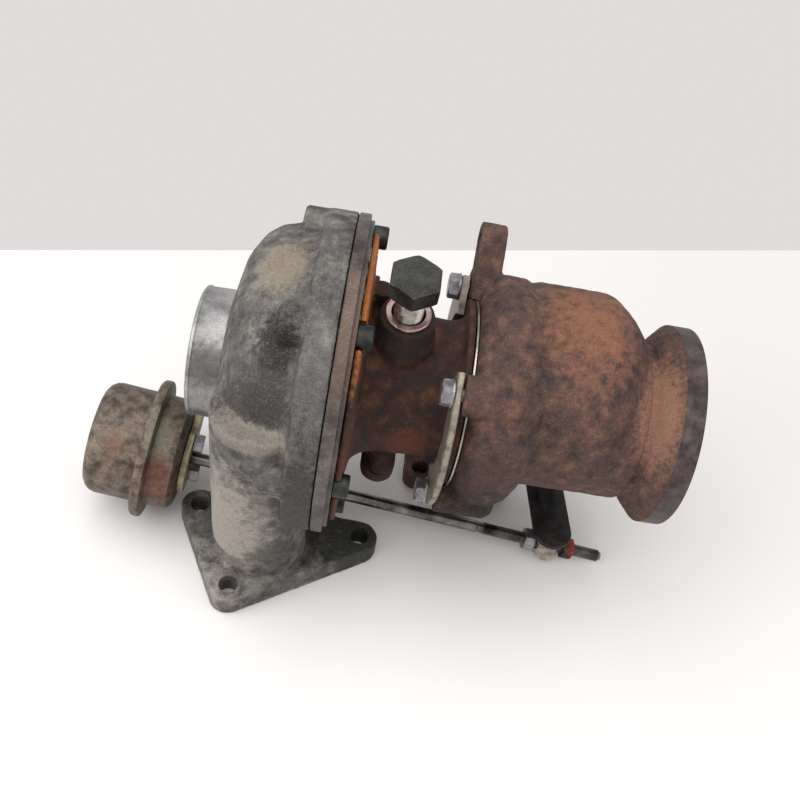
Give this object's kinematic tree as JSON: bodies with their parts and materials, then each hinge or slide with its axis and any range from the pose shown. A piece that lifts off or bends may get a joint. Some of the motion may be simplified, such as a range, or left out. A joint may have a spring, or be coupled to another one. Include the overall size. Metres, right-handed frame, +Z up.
{
  "type": "turbocharger",
  "caption": "Exhaust turbocharger with cast housings joined on one shaft, a wastegate lever and a pressure can that moves it by a threaded rod.",
  "frame": {"origin": "middle of the bounding box, on the plane that its two foot flanges stand on", "axes": "+X along the shaft from the compressor to the turbine outlet, +Z up, -Y towards the side with the actuator rod"},
  "size_m": [0.2594, 0.141, 0.169],
  "materials": {
    "cast_aluminium": "weathered die casting",
    "machined_aluminium": "machined",
    "turned_steel": "turned",
    "zinc_steel": "dull zinc",
    "black_steel": "black oxide",
    "spring_steel": "oiled",
    "bearing_bronze": "turned",
    "rusty_iron": "rusty sand casting",
    "scaled_iron": "heat-scaled sand casting",
    "clamp_steel": "stained by heat",
    "stained_steel": "plating gone, stained",
    "green_steel": "dark green-grey plating",
    "copper": "dull copper",
    "rubber": "matte"
  },
  "bodies": {
    "housings": {"compressor_cover": "cast_aluminium", "backplate": "turned_steel", "cover_seal_ring": "rubber", "cover_bolt_1": "green_steel", "cover_bolt_2": "green_steel", "cover_bolt_3": "green_steel", "cover_bolt_4": "green_steel", "cover_bolt_5": "green_steel", "cover_bolt_6": "green_steel", "bearing_housing": "rusty_iron", "journal_bearing_front": "bearing_bronze", "journal_bearing_rear": "bearing_bronze", "bearing_circlip_front": "spring_steel", "bearing_circlip_rear": "spring_steel", "turbine_seal_ring": "spring_steel", "thrust_bearing": "bearing_bronze", "oil_inlet_bolt": "black_steel", "oil_inlet_washer": "copper", "heat_shield": "zinc_steel", "turbine_housing": "scaled_iron", "clamp_plate_front": "clamp_steel", "clamp_plate_rear": "clamp_steel", "clamp_bolt_1": "zinc_steel", "clamp_bolt_2": "zinc_steel", "clamp_bolt_3": "zinc_steel", "clamp_bolt_4": "zinc_steel", "wastegate_bush": "turned_steel", "actuator_cap": "stained_steel", "actuator_body": "stained_steel", "diaphragm": "rubber", "actuator_spring": "spring_steel", "actuator_bracket": "stained_steel", "bracket_bolt_1": "zinc_steel", "bracket_bolt_2": "zinc_steel", "can_nut_1": "zinc_steel", "can_nut_2": "zinc_steel", "pressure_nipple": "turned_steel"},
    "rotor": {"compressor_wheel": "machined_aluminium", "rotor_nut": "turned_steel", "oil_flinger": "turned_steel", "thrust_collar": "turned_steel", "turbine_shaft": "scaled_iron"},
    "wastegate": {"wastegate_spindle": "turned_steel", "wastegate_valve": "turned_steel", "valve_washer": "turned_steel", "wastegate_lever": "black_steel"},
    "trunnion": {"trunnion": "turned_steel", "trunnion_washer": "zinc_steel"},
    "rod": {"actuator_rod": "turned_steel", "inner_lock_nut": "zinc_steel", "outer_lock_nut": "black_steel", "piston_plate": "turned_steel"}
  },
  "joints": [
    {"name": "rotor_spin", "type": "hinge", "parent": "housings", "child": "rotor", "pos_m": [0.00466, 0.00079, 0.096], "axis": [1, 0, 0], "continuous": true},
    {"name": "wastegate_turn", "type": "hinge", "parent": "housings", "child": "wastegate", "pos_m": [0.0921, 0.02594, 0.01071], "axis": [0, 0, 1], "range_deg": [0, 16], "stiffness_Nm_per_rad": 2, "springref_deg": -5.73},
    {"name": "trunnion_turn", "type": "hinge", "parent": "wastegate", "child": "trunnion", "pos_m": [0.0966, -0.01179, 0.01071], "axis": [0, 0, 1], "range_deg": [-16, 0]},
    {"name": "rod_slide", "type": "slide", "parent": "housings", "child": "rod", "axis": [0.9668, 0.2554, 0], "range_m": [0, 0.01059], "deforming": ["actuator_spring"]}
  ],
  "couplings": [
    {"joint": "trunnion_turn", "follows": "wastegate_turn", "ratio": -1},
    {"joint": "rod_slide", "follows": "wastegate_turn", "m_per_rad": 0.037877}
  ]
}
